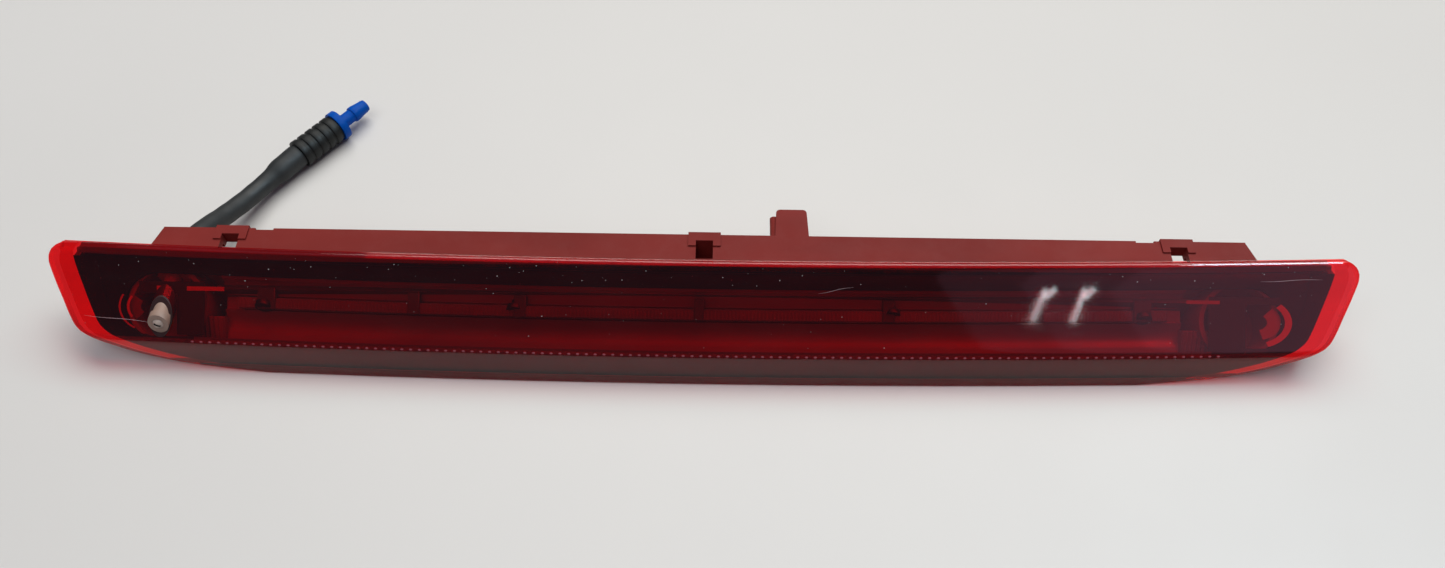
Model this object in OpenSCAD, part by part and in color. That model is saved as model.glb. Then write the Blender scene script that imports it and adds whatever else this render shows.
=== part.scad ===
// High-level brake light with a rear-screen washer jet at its left end.
// X runs along the lamp, -Y is the lens side, Z is up from the face that it rests on.
// The lens, bezel and tray are bowed about a far vertical axis; the mounting flange is straight.

/* [Lens] */
// Length of the lens from end to end
lens_w = 440; // [420:5:450]
// Height of the lens at its top rim
lens_h = 31.6; // [31:0.2:33]
// Wall thickness of the lens
lens_t = 2.5; // [2.2:0.1:2.8]
// Radius of the bow of the lens seen from above
bow_r = 5200; // [4800:100:8000]
// Slope of the large lens face from the horizontal
face_slope = 35; // [34:0.5:36]
// Height of the crease between the two lens faces
crease_z = 12.5; // [12:0.1:13]

/* [Housing] */
// Length of the mounting flange
flange_w = 372; // [360:2:376]
// Distance from the lens front to the rear edge of the flange
flange_d = 41.6; // [41:0.2:44]
// Height of the top of the flange
flange_z = 29.5; // [29.3:0.1:29.8]
// Distance of the side clip windows from the middle
window_x = 160; // [150:1:165]
// Width of a clip window
window_w = 5.8; // [5:0.1:7]
// Distance of the connector socket from the middle
socket_x = 29.7; // [25:0.5:35]

/* [Light] */
// Number of light-emitting diodes
led_count = 16; // [8:2:16]
// Spacing of the diodes
led_pitch = 20; // [18:0.5:20]

/* [Washer jet] */
// Distance of the jet and of its twin tower from the middle
jet_x = 181; // [180:0.5:182]
// Height of the jet's axis
jet_z = 17.3; // [17:0.1:17.6]
// Radius of the spray ball
ball_r = 2; // [1.8:0.1:2.1]

/* [Valve] */
// Outer radius of the valve body
valve_r = 5.5; // [5.3:0.1:5.6]
// Travel of the valve's plunger
valve_travel = 1.5; // [0.5:0.1:2]

/* [Hidden] */
$fn = 128;

// Lens section: distances d run back from the lens front, heights z up from the base.
front_y = -26.5;
crease_d = 3.5;
lens_foot_z = 0.5;
lower_tilt = atan(crease_d / (crease_z - lens_foot_z));
face_n = crease_z * cos(face_slope) - crease_d * sin(face_slope);
rim_d = (lens_h - crease_z) / tan(face_slope) + crease_d;
rim_t = 2.5;
wall_d = rim_d - rim_t;
weld_gap = 0.15;

// Tray and flange
tray_d = wall_d + weld_gap;
floor_t = 2;
wall_t = 2.3;
flange_t = 2.4;
plate_drop = 0.3;
lip_t = 1.5;
lip_h = 4.7;
window_rear = 2.9;
window_depth = 7.3;
pocket_z = 19;
notch_w = 6.2;
notch_d = 0.7;
notch_x = 149.4;
pad_w = 11;
pad_h = 0.6;
end_taper = 2.5;
tray_scale = [0.966, 0.95];
cavity_scale = [0.957, 0.93];
socket_w = 12.6;
socket_z = 15.5;
socket_end = 53;
socket_wall = 1.4;
socket_bore = 7.6;
socket_floor_d = 34;
vent_x = -60;
vent_z = 12;
vent_d = tray_d + wall_t + 0.9;
gusset_x = [-168, -135, -100, -72, 72, 100, 135, 168];
tower_r = 13.5;
tower_t = 1.6;
tower_at = [17.7, 17.1];
tower_front_d = 10.9;
bow_at_jet = jet_x * jet_x / (2 * bow_r);

// Bezel
bezel_gap = 0.4;
bezel_t = 1.2;
window_top = 10.8;
window_bottom = 32.6;
window_x_end = 195;

// Boards and optics
board_d = 24;
board_t = 1.6;
board_z = [5.5, 18.5];
board_w = 330;
led_z = 11.5;
led_size = [3.4, 1.4, 2.8];
panel_d = 20.6;
panel_t = 1.5;
panel_z = 18;
ledge_z = 14.9;
reflector_w = 326;
optic_w = 316;
optic_d = 17.6;
screw_x = [-149, -64, 64, 149];
post_x = [-100, 0, 100];
screw_z = 15.2;
pin_gap = 5.08;
pin_t = 0.64;
pin_z = [16.4, 21.8];

// Jet
neck_r = 2.8;
head_r = 3.35;
jet_hole_r = 3.9;
face_tilt = 20;
face_at = [10.2, 17.3];
head_back = 13.6;
collar_r = 5.2;
seat_d = 31.2;
seat_back = 34.2;
nut_t = 1.6;
barb_start = 37;
barb_end = 44;
feed_r = 1.2;
ball_play = 0.08;
ball_sink = 1;
ball_d = face_at[0] + ball_sink * cos(face_tilt);
ball_z = face_at[1] - ball_sink * sin(face_tilt);

// Valve: its own x axis runs from the hose to the supply nipple.
valve_at = [-157.5, front_y + 95.7, 6];
valve_turn = 53;
valve_len = 18;
spigot_len = 9;
chamber_r = 3.4;
bore_r = 1.3;
plunger_play = 0.05;
seat_x = 14;
plunger_x = 8.5;
nipple_end = 33.4;

// Hose: hand-chosen stops along its centre line, then a smooth curve through them.
hose_r = 3.65;
hose_sides = 10;
hose_steps = 5;
hose_stops = [[-181, 10.5, 17.3], [-181, 17, 17.2], [-178.2, 26, 14.6], [-175.4, 35, 10.6],
              [-171.7, 44.3, 7.6], [-167.8, 52.4, 6.3], [-163.3, 60.3, 6], [-157.5, 69.2, 6]];

function unit(v) = v / norm(v);
function turned(v, a) = [v[0] * cos(a) - v[1] * sin(a), v[0] * sin(a) + v[1] * cos(a)];
function side_of(a, b) = a[0] * b[1] - a[1] * b[0] > 0 ? 1 : -1;

// Points of an arc of radius r that replaces corner q of the path p, q, s
function corner(p, q, s, r, steps) =
    let(a = unit(p - q),
        b = unit(s - q),
        half = acos(a * b) / 2,
        start = q + a * r / tan(half),
        centre = q + unit(a + b) * r / sin(half),
        sweep = side_of(a, b) * (2 * half - 180))
    [for (i = [0 : steps]) centre + turned(start - centre, sweep * i / steps)];

// Lens section inset by k: height of the large face, depth of the lower face, and their crease
function face_z(d, k) = (face_n - k + d * sin(face_slope)) / cos(face_slope);
function lower_d(z, k) = crease_d - (crease_z - z) * tan(lower_tilt) + k / cos(lower_tilt);
function crease(k) =
    let(a = (face_n - k) / cos(face_slope),
        b = tan(face_slope),
        c = lower_d(0, k),
        z = (a + b * c) / (1 - b * tan(lower_tilt)))
    [lower_d(z, k), z];

// Half outline of the lens seen square to its large face: x, and drop below the top rim
function half_outline(sx, sv) =
    [for (p = [[15, -12], [10.5, -3.8], [5.4, -1.9], [2.1, 0.1], [0.3, 2.6], [0, 4.4],
               [2.4, 10.9], [5.2, 17.3], [8, 23.6], [10.4, 27.2], [14.4, 29.8], [20.5, 32.3],
               [28.5, 35], [38, 37.3], [48, 39], [60, 40.3], [72, 41.3], [90, 47]])
        [(lens_w / 2 - p[0]) * sx, p[1] * sv]];

// Revolves a section (distance back, height) about the bow's far axis
module bowed() {
    sweep = 2 * asin((lens_w / 2 + 12) / bow_r) + 0.1;
    translate([0, front_y + bow_r, 0])
        rotate([0, 0, 270 - sweep / 2])
            rotate_extrude(angle = sweep, $fn = 256)
                translate([bow_r, 0])
                    mirror([1, 0])
                        children();
}

// Prism square to the large face with the lens's end outline, scaled by s
module end_prism(s) {
    right = half_outline(s[0], s[1]);
    left = [for (i = [len(right) - 1 : -1 : 0]) [-right[i][0], right[i][1]]];
    translate([0, front_y + rim_d, lens_h])
        rotate([face_slope, 0, 0])
            translate([0, 0, -60])
                linear_extrude(90)
                    polygon([for (p = concat(right, left)) [p[0], -p[1]]]);
}

// Straight extrusion along X of a section (distance back, height)
module along_x(w) {
    translate([-w / 2, front_y, 0])
        rotate([90, 0, 90])
            linear_extrude(w)
                children();
}

// Cylinder along Y between two distances back
module along_y(x, z, r, d0, d1) {
    translate([x, front_y + d0, z])
        rotate([-90, 0, 0])
            cylinder(h = d1 - d0, r = r);
}

// Box centred on x, from distance d0 to d1 and height z0 to z1
module block(x, w, d0, d1, z0, z1) {
    translate([x - w / 2, front_y + d0, z0])
        cube([w, d1 - d0, z1 - z0]);
}

module lens_outside() {
    b = crease(0);
    polygon(concat([[0, lens_foot_z]],
                   corner([0, lens_foot_z], b, [rim_d, lens_h], 3, 4),
                   corner(b, [rim_d, lens_h], [rim_d, flange_z], 1, 4),
                   [[rim_d, flange_z], [wall_d, flange_z], [wall_d, lens_foot_z]]));
}

module under_lens(k, base) {
    b = crease(k);
    polygon([[lower_d(base, k), base], b, [wall_d, face_z(wall_d, k)], [wall_d, base]]);
}

module outer_lens() {
    color([0.75, 0.02, 0.04, 0.55])
        difference() {
            intersection() {
                bowed() lens_outside();
                end_prism([1, 1]);
            }
            intersection() {
                bowed() under_lens(lens_t, -5);
                end_prism([(lens_w - 2 * lens_t) / lens_w, 0.985]);
            }
            end_skirt_trim();
            along_y(-jet_x, jet_z, jet_hole_r, 5, 24);
        }
}

// Space behind the end skirts, which stop 6 mm below the inner face
module end_skirt_trim() {
    difference() {
        bowed() polygon([[-5, -5], [wall_d + 10, -5], [wall_d + 10, face_z(wall_d + 10, 8.5)],
                         [-5, face_z(-5, 8.5)]]);
        end_prism(tray_scale);
        translate([-lens_w / 2 + 40, front_y - 10, -10]) cube([lens_w - 80, 90, 60]);
    }
}

module tray_solid() {
    k = lens_t + weld_gap;
    intersection() {
        bowed() polygon([[lower_d(lens_foot_z, k), lens_foot_z], crease(k),
                         [tray_d, face_z(tray_d, k)], [tray_d, flange_z - plate_drop],
                         [tray_d + wall_t, flange_z - plate_drop], [tray_d + wall_t, 0],
                         [lower_d(0, k) + 0.6, 0]]);
        end_prism(tray_scale);
    }
}

module tray_cavity() {
    intersection() {
        bowed() polygon([[-5, floor_t], [tray_d, floor_t], [tray_d, 45], [-5, 45]]);
        end_prism(cavity_scale);
    }
}

module tower(x) {
    intersection() {
        block(x, 40, tower_front_d, wall_d + wall_t / 2 + bow_at_jet, floor_t / 2, 40);
        translate([x, front_y + tower_at[0], tower_at[1]])
            rotate([face_slope, 0, 0])
                difference() {
                    translate([0, 0, -30]) cylinder(h = 28.1, r = tower_r);
                    translate([0, 0, -30]) cylinder(h = 40, r = tower_r - tower_t);
                }
    }
}

// Plate behind the lens rim, with its turned-down rear lip; its front edge follows the bow
module flange_plate() {
    half = flange_w / 2;
    front = [for (i = [-6 : 6]) [half * i / 6, wall_d + 1.2 + pow(half * i / 6, 2) / (2 * bow_r)]];
    difference() {
        union() {
            translate([0, front_y, flange_z - flange_t])
                linear_extrude(flange_t)
                    polygon(concat(front,
                                   corner([half, wall_d], [half - end_taper, flange_d],
                                          [0, flange_d], 1.5, 4),
                                   corner([0, flange_d], [end_taper - half, flange_d],
                                          [-half, wall_d], 1.5, 4)));
            block(0, flange_w - 2 * end_taper, flange_d - lip_t, flange_d, flange_z - lip_h,
                  flange_z);
            for (x = [-window_x, 0, window_x])
                block(x, pad_w, flange_d - 5, flange_d + pad_h, flange_z - lip_h + 0.5,
                      flange_z + pad_h);
            middle_pocket();
        }
        for (x = [-window_x, 0, window_x])
            block(x, window_w, flange_d - window_rear - window_depth, flange_d - window_rear,
                  x == 0 ? pocket_z + 1.2 : 10, flange_z + 5);
        for (x = [-notch_x, notch_x])
            block(x, notch_w, flange_d - notch_d, flange_d + 3, flange_z - 10, flange_z + 5);
    }
}

module gusset(x) {
    root_d = wall_d + 0.8 + x * x / (2 * bow_r);
    translate([x, 0, 0])
        along_x(1.8)
            polygon([[root_d, flange_z - 1], [flange_d - 0.6, flange_z - 1],
                     [flange_d - 0.6, flange_z - 4], [root_d, 12]]);
}

// Tapered socket with round rear corners, a latch rib along its left side and an open rear end
module socket_shroud() {
    base = socket_w / 2;
    tip = base - 1.1;
    difference() {
        union() {
            translate([socket_x, front_y, socket_z])
                linear_extrude(flange_z - socket_z)
                    polygon(concat([[-base, wall_d + 0.5]],
                                   corner([-base, wall_d], [-tip, socket_end],
                                          [tip, socket_end], 1.4, 5),
                                   corner([-tip, socket_end], [tip, socket_end],
                                          [base, wall_d], 1.4, 5),
                                   [[base, wall_d + 0.5]]));
            along_y(socket_x - base + 0.4, flange_z - 2.6, 1.5, wall_d + 1, socket_end - 2.2);
        }
        block(socket_x, socket_bore, socket_floor_d, socket_end + 5,
              socket_z + socket_wall, flange_z - socket_wall);
    }
}

// Blind pocket that hangs under the middle clip window
module middle_pocket() {
    d1 = flange_d - window_rear;
    block(0, window_w + 2.4, d1 - window_depth - 1, d1 + 1.2, pocket_z, flange_z - 1);
}

module housing() {
    color([0.52, 0.16, 0.15])
        difference() {
            union() {
                difference() {
                    tray_solid();
                    tray_cavity();
                }
                tower(-jet_x);
                tower(jet_x);
                flange_plate();
                for (x = gusset_x) gusset(x);
                socket_shroud();
                for (x = screw_x)
                    along_y(x, screw_z, 3, board_d + board_t, tray_d + 1 + x * x / (2 * bow_r));
                along_y(-jet_x, jet_z, collar_r + 2, seat_d, seat_back);
                along_y(vent_x, vent_z, 5, wall_d + 1, vent_d);
            }
            for (x = screw_x)
                along_y(x, screw_z, 1.3, board_d, wall_d + 0.9);
            for (s = [-1, 1])
                block(socket_x + s * pin_gap / 2, pin_t, wall_d - 1, socket_floor_d + 1,
                      pin_z[1] - pin_t / 2, pin_z[1] + pin_t / 2);
            along_y(vent_x, vent_z, 1, wall_d - 2, vent_d + 1);
            along_y(-jet_x, jet_z, neck_r + 0.1, 5, seat_back + 5);
            along_y(-jet_x, jet_z, collar_r + 1, 5, seat_d);
        }
}

module bezel() {
    k0 = lens_t + bezel_gap;
    k1 = k0 + bezel_t;
    back = wall_d - 0.5;
    color([0.05, 0.04, 0.05])
        difference() {
            intersection() {
                bowed() polygon([[lower_d(floor_t, k0), floor_t], crease(k0),
                                 [back, face_z(back, k0)], [back, face_z(back, k1)],
                                 crease(k1), [lower_d(floor_t, k1), floor_t]]);
                end_prism([cavity_scale[0] - 0.002, cavity_scale[1] - 0.01]);
            }
            bezel_window();
        }
}

// Long window with round ends, cut square to the large face
module bezel_window() {
    high = window_bottom - window_top;
    straight = window_x_end - high / 2;
    run = rim_d * cos(face_slope) + lens_h * sin(face_slope);
    low = run - window_bottom;
    base = [low * cos(face_slope), low * sin(face_slope)];
    across = [cos(face_slope), sin(face_slope)];
    out = [-sin(face_slope), cos(face_slope)];
    intersection() {
        bowed() polygon([base - 2 * out, base + 12 * out, base + high * across + 12 * out,
                         base + high * across - 2 * out]);
        union() {
            block(0, 2 * straight, -10, 60, -10, 60);
            for (s = [-1, 1])
                translate([s * straight, front_y + tower_at[0], tower_at[1]])
                    rotate([face_slope, 0, 0])
                        translate([0, 0, -20]) cylinder(h = 40, r = high / 2);
        }
    }
}

module reflector() {
    color([0.45, 0.12, 0.12])
        difference() {
            union() {
                along_x(reflector_w) polygon([[8.6, floor_t], [panel_d + panel_t, floor_t],
                                              [panel_d + panel_t, panel_z],
                                              [panel_d, panel_z], [panel_d, 6],
                                              [10.2, 4.4], [8.6, 4.4]]);
                for (x = screw_x) along_y(x, screw_z, 2.2, panel_d + panel_t, board_d);
                for (x = post_x) block(x, 3.2, optic_d, panel_d + 0.5, ledge_z, panel_z);
            }
            for (x = screw_x) along_y(x, screw_z, 1.55, panel_d - 5, board_d + 1);
            for (i = [0 : led_count - 1])
                block((i - (led_count - 1) / 2) * led_pitch, 5, panel_d - 1, panel_d + panel_t + 1,
                      led_z - 2.2, led_z + 2.2);
        }
}

module inner_optic() {
    color([0.9, 0.75, 0.75, 0.5])
        difference() {
            along_x(optic_w) polygon([[optic_d, 6.2], [optic_d + 1.6, 6.2], [optic_d + 1.6, 13.4],
                                      [panel_d, 13.4], [panel_d, ledge_z],
                                      [optic_d, ledge_z]]);
            for (x = screw_x) along_y(x, screw_z, 3.4, optic_d - 1, panel_d + 1);
        }
}

module circuit_board() {
    color([0.12, 0.3, 0.16])
        difference() {
            block(0, board_w, board_d, board_d + board_t, board_z[0], board_z[1]);
            for (x = screw_x) along_y(x, screw_z, 1.6, board_d - 1, board_d + board_t + 1);
            for (s = [-1, 1])
                block(socket_x + s * pin_gap / 2, pin_t, board_d - 1, board_d + board_t + 1,
                      pin_z[0] - pin_t / 2, pin_z[0] + pin_t / 2);
        }
}

module leds() {
    color([0.95, 0.9, 0.8])
        for (i = [0 : led_count - 1]) {
            x = (i - (led_count - 1) / 2) * led_pitch;
            block(x, led_size[0], board_d - led_size[1], board_d,
                  led_z - led_size[2] / 2, led_z + led_size[2] / 2);
            along_y(x, led_z, 1.1, board_d - led_size[1] - 0.4, board_d - led_size[1]);
        }
}

module resistors() {
    color([0.08, 0.08, 0.09])
        for (i = [0 : led_count / 2 - 1])
            block((i - led_count / 4 + 0.5) * 2 * led_pitch + 3, 2, board_d - 0.55, board_d, 7, 8.25);
}

module driver_chips() {
    color([0.1, 0.1, 0.11])
        for (x = [8, 15]) block(x, 4.4, board_d - 1.1, board_d, 6.6, 9.1);
}

module terminal_pins() {
    h = pin_t / 2;
    bend_d = board_d + board_t + 0.6;
    color([0.8, 0.75, 0.6])
        for (s = [-1, 1]) {
            x = socket_x + s * pin_gap / 2;
            block(x, pin_t, board_d - 0.8, bend_d + pin_t, pin_z[0] - h, pin_z[0] + h);
            block(x, pin_t, bend_d, bend_d + pin_t, pin_z[0] - h, pin_z[1] + h);
            block(x, pin_t, bend_d, 46.5, pin_z[1] - h, pin_z[1] + h);
        }
}

module board_screws() {
    color([0.6, 0.6, 0.62])
        for (x = screw_x)
            difference() {
                union() {
                    along_y(x, screw_z, 2.7, panel_d - 1.8, panel_d);
                    along_y(x, screw_z, 1.3, panel_d - 0.5, wall_d + 0.8);
                }
                along_y(x, screw_z, 0.8, panel_d - 2, panel_d - 0.9);
            }
}

module vent_patch() {
    color([0.9, 0.9, 0.88])
        along_y(vent_x, vent_z, 3.8, vent_d, vent_d + 0.4);
}

// Half-space in front of the jet's tilted face
module jet_face_cut() {
    translate([-jet_x, front_y + face_at[0], face_at[1]])
        rotate([-face_tilt, 0, 0])
            translate([-10, -20, -10])
                cube([20, 20, 20]);
}

module nozzle_body() {
    color([0.72, 0.6, 0.54])
        difference() {
            union() {
                along_y(-jet_x, jet_z, head_r, 5, head_back);
                along_y(-jet_x, jet_z, neck_r, head_back - 1, barb_start);
                along_y(-jet_x, jet_z, collar_r, seat_d - 2.5, seat_d - 1);
                along_y(-jet_x, jet_z, 2.2, barb_start - 1, barb_end);
                for (d = [barb_start + 1.5, barb_start + 4]) barb_ring(d);
            }
            jet_face_cut();
            along_y(-jet_x, jet_z, feed_r, ball_d, barb_end + 1);
            translate([-jet_x, front_y + ball_d, ball_z]) sphere(r = ball_r + ball_play);
        }
}

module barb_ring(d) {
    translate([-jet_x, front_y + d, jet_z])
        rotate([-90, 0, 0])
            cylinder(h = 1.8, r1 = 2.7, r2 = 2.2);
}

module jet_ball() {
    color([0.8, 0.7, 0.64])
        translate([-jet_x, front_y + ball_d, ball_z])
            rotate([-face_tilt, 0, 0])
                difference() {
                    sphere(r = ball_r);
                    rotate([90, 0, 0]) cylinder(h = 6, r = 0.35, center = true);
                    rotate([0, 27, 0]) translate([-1.15, -3, -0.4]) cube([2.3, 1.6, 0.8]);
                }
}

module lens_grommet() {
    y0 = front_y + bow_at_jet;
    color([0.05, 0.05, 0.05])
        difference() {
            intersection() {
                along_y(-jet_x, jet_z, jet_hole_r - 0.04, 5, 24);
                translate([-jet_x, y0 + crease_d, crease_z])
                    rotate([face_slope, 0, 0])
                        translate([-10, -5, -lens_t - 0.3]) cube([20, 40, lens_t + 0.6]);
            }
            along_y(-jet_x, jet_z, neck_r, 5, 30);
            along_y(-jet_x, jet_z, head_r, 2, head_back);
        }
}

module nozzle_gasket() {
    color([0.06, 0.06, 0.06])
        difference() {
            along_y(-jet_x, jet_z, collar_r - 0.3, seat_d - 1, seat_d);
            along_y(-jet_x, jet_z, neck_r, seat_d - 2, seat_d + 1);
        }
}

module nozzle_nut() {
    color([0.7, 0.7, 0.72])
        difference() {
            along_y(-jet_x, jet_z, 5.6, seat_back, seat_back + nut_t);
            along_y(-jet_x, jet_z, neck_r, seat_back - 1, seat_back + nut_t + 1);
        }
}

// Smooth curve through the hose's stops
function blend(a, b, c, d, t) =
    0.5 * (2 * b + (c - a) * t + (2 * a - 5 * b + 4 * c - d) * t * t
           + (3 * b - a - 3 * c + d) * t * t * t);
function stop(i) = hose_stops[max(0, min(len(hose_stops) - 1, i))];
function hose_line() =
    concat([for (i = [0 : len(hose_stops) - 2], j = [0 : hose_steps - 1])
                blend(stop(i - 1), stop(i), stop(i + 1), stop(i + 2), j / hose_steps)],
           [hose_stops[len(hose_stops) - 1]]);

function along(line, i) =
    unit(line[min(len(line) - 1, i + 1)] - line[max(0, i - 1)]);

// Points of the hose's rings, each square to the curve
function hose_points(line) =
    [for (i = [0 : len(line) - 1], j = [0 : hose_sides - 1])
        let(t = i == 0 ? [0, 1, 0]
              : i == len(line) - 1 ? [cos(valve_turn), sin(valve_turn), 0] : along(line, i),
            side = unit(cross(t, [0, 0, 1])),
            up = cross(side, t),
            a = 360 * j / hose_sides)
        line[i] + hose_r * (side * cos(a) + up * sin(a))];

function hose_faces(rings) =
    concat([[for (j = [0 : hose_sides - 1]) j]],
           [for (i = [0 : rings - 2], j = [0 : hose_sides - 1])
               let(k = (j + 1) % hose_sides)
               [(i + 1) * hose_sides + j, (i + 1) * hose_sides + k,
                i * hose_sides + k, i * hose_sides + j]],
           [[for (j = [hose_sides - 1 : -1 : 0]) (rings - 1) * hose_sides + j]]);

module washer_hose() {
    line = hose_line();
    color([0.05, 0.05, 0.05])
        polyhedron(hose_points(line), hose_faces(len(line)));
}

// Puts a shape that is drawn along +Z onto the valve's own axis
module on_valve() {
    translate(valve_at)
        rotate([0, 0, valve_turn])
            rotate([0, 90, 0])
                children();
}

// Ring or rod on the valve's axis between two stations
module turned_rod(r, x0, x1) {
    translate([0, 0, x0])
        cylinder(h = x1 - x0, r = r);
}

module valve_body() {
    color([0.06, 0.06, 0.06])
        on_valve()
            difference() {
                union() {
                    turned_rod(valve_r - 0.4, 0, valve_len);
                    for (x = [0, 3.6, 7.2, 10.8, 14.4]) turned_rod(valve_r, x, x + 2.4);
                    turned_rod(2, -spigot_len, 1);
                    translate([0, 0, -spigot_len + 1]) cylinder(h = 1.8, r1 = 2, r2 = 2.6);
                }
                turned_rod(bore_r, -spigot_len - 1, 2);
                turned_rod(2.7, 1, seat_x);
                turned_rod(chamber_r, plunger_x - valve_travel, seat_x + 1);
                turned_rod(4.2, seat_x, valve_len + 1);
            }
}

module valve_cap() {
    color([0.02, 0.3, 0.8])
        on_valve()
            difference() {
                union() {
                    turned_rod(4.2, seat_x, valve_len);
                    turned_rod(5.9, valve_len, valve_len + 2.8);
                    turned_rod(2.6, valve_len + 2, nipple_end - 1);
                    turned_rod(3.1, 26.4, 27.9);
                    translate([0, 0, 27.9]) cylinder(h = nipple_end - 27.9, r1 = 3.1, r2 = 2.35);
                }
                turned_rod(bore_r, seat_x - 1, nipple_end + 1);
            }
}

module valve_plunger() {
    color([0.85, 0.85, 0.82])
        on_valve()
            difference() {
                turned_rod(chamber_r - plunger_play, plunger_x, seat_x - 1);
                for (a = [0, 120, 240])
                    rotate([0, 0, a])
                        translate([2.4, -4, 8]) cube([3, 8, 6]);
            }
}

module plunger_seal() {
    color([0.1, 0.1, 0.1])
        on_valve()
            turned_rod(2.2, seat_x - 1, seat_x);
}

// Coil spring swept from a six-sided wire section
module valve_spring() {
    turns = 5;
    per_turn = 16;
    wire = 0.28;
    coil = 2;
    high = plunger_x - 1 - 2 * wire;
    n = turns * per_turn;
    points = [for (i = [0 : n], j = [0 : 5])
                 let(a = 360 * i / per_turn, b = 60 * j)
                 [(coil + wire * cos(b)) * cos(a), (coil + wire * cos(b)) * sin(a),
                  1 + wire + high * i / n + wire * sin(b)]];
    faces = concat([[for (j = [0 : 5]) j]],
                   [for (i = [0 : n - 1], j = [0 : 5])
                       let(k = (j + 1) % 6)
                       [(i + 1) * 6 + j, (i + 1) * 6 + k, i * 6 + k, i * 6 + j]],
                   [[for (j = [5 : -1 : 0]) n * 6 + j]]);
    color([0.7, 0.7, 0.72])
        on_valve()
            polyhedron(points, faces);
}

housing();
outer_lens();
bezel();
reflector();
inner_optic();
circuit_board();
leds();
resistors();
driver_chips();
terminal_pins();
board_screws();
vent_patch();
nozzle_body();
jet_ball();
lens_grommet();
nozzle_gasket();
nozzle_nut();
washer_hose();
valve_body();
valve_cap();
valve_plunger();
plunger_seal();
valve_spring();
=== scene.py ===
import math
import random

import bmesh
import bpy
from mathutils import Matrix, Quaternion, Vector


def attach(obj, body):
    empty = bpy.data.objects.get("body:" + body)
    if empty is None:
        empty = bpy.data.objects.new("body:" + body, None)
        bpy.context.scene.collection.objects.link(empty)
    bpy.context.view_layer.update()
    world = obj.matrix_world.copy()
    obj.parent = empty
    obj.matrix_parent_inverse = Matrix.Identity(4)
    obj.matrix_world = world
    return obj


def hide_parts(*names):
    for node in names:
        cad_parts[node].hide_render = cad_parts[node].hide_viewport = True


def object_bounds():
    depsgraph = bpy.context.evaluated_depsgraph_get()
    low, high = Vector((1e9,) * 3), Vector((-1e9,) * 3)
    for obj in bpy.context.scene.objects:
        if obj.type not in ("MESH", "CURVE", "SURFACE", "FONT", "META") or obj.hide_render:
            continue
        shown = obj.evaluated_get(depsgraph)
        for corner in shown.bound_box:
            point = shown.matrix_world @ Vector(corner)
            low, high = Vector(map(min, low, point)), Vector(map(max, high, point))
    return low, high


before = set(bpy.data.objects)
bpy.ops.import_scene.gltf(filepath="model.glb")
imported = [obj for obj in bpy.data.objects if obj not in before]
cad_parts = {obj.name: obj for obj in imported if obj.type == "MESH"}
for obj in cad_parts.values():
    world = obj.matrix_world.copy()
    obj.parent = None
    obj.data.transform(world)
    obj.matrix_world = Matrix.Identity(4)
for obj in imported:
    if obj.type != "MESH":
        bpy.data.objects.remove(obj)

CAD_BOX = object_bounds()
MM = 0.001
BODY = "lamp"

# ---------------------------------------------------------------- driving sizes, millimetres
# Lens section: d runs back from the lens front, z up from the base, as in the CAD model.
FRONT_Y = CAD_BOX[0].y / MM
LENS_W = 440.0
LENS_H = 31.6
LENS_T = 2.5
BOW_R = 5200.0
SLOPE = math.radians(35)
CREASE_D, CREASE_Z, FOOT_Z = 3.5, 12.5, 0.5
LOWER_TILT = math.atan(CREASE_D / (CREASE_Z - FOOT_Z))
FACE_N = CREASE_Z * math.cos(SLOPE) - CREASE_D * math.sin(SLOPE)
RIM_D = (LENS_H - CREASE_Z) / math.tan(SLOPE) + CREASE_D
WALL_D = RIM_D - 2.5
RUN = RIM_D * math.cos(SLOPE) + LENS_H * math.sin(SLOPE)
JET_X, JET_Z, JET_HOLE_R = -181.0, 17.3, 3.9
VALVE_TURN = math.radians(53)

FACE_NORMAL = Vector((-math.sin(SLOPE), math.cos(SLOPE)))


def bow(x):
    """How far the lens has curved back at x."""
    return x * x / (2 * BOW_R)


def place(x, d, z):
    """A point x along, d back from the bowed front and z up, in metres."""
    return Vector((x, FRONT_Y + d + bow(x), z)) * MM


def straight(x, d, z):
    """The same without the bow."""
    return Vector((x, FRONT_Y + d, z)) * MM


# ---------------------------------------------------------------- camera
CAMERA_AT = (0.0063, -0.2109, 0.3232)
CAMERA_DOWN = math.radians(55)
CAMERA_ROLL = math.radians(0.85)
CAMERA_LENS = 27.17


def make_camera():
    """Stands where the photographer stood: in front of the lens, looking down on it."""
    down, roll = CAMERA_DOWN, CAMERA_ROLL
    look = Vector((0, math.cos(down), -math.sin(down)))
    level = Vector((1, 0, 0))
    rise = level.cross(look)
    right = level * math.cos(roll) + rise * math.sin(roll)
    up = rise * math.cos(roll) - level * math.sin(roll)
    data = bpy.data.cameras.new("camera")
    data.sensor_width = 36
    data.lens = CAMERA_LENS
    data.clip_start, data.clip_end = 0.01, 20
    camera = bpy.data.objects.new("camera", data)
    turn = Matrix((right, up, -look)).transposed().to_4x4()
    camera.matrix_world = Matrix.Translation(CAMERA_AT) @ turn
    bpy.context.scene.collection.objects.link(camera)
    bpy.context.scene.camera = camera


make_camera()


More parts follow.
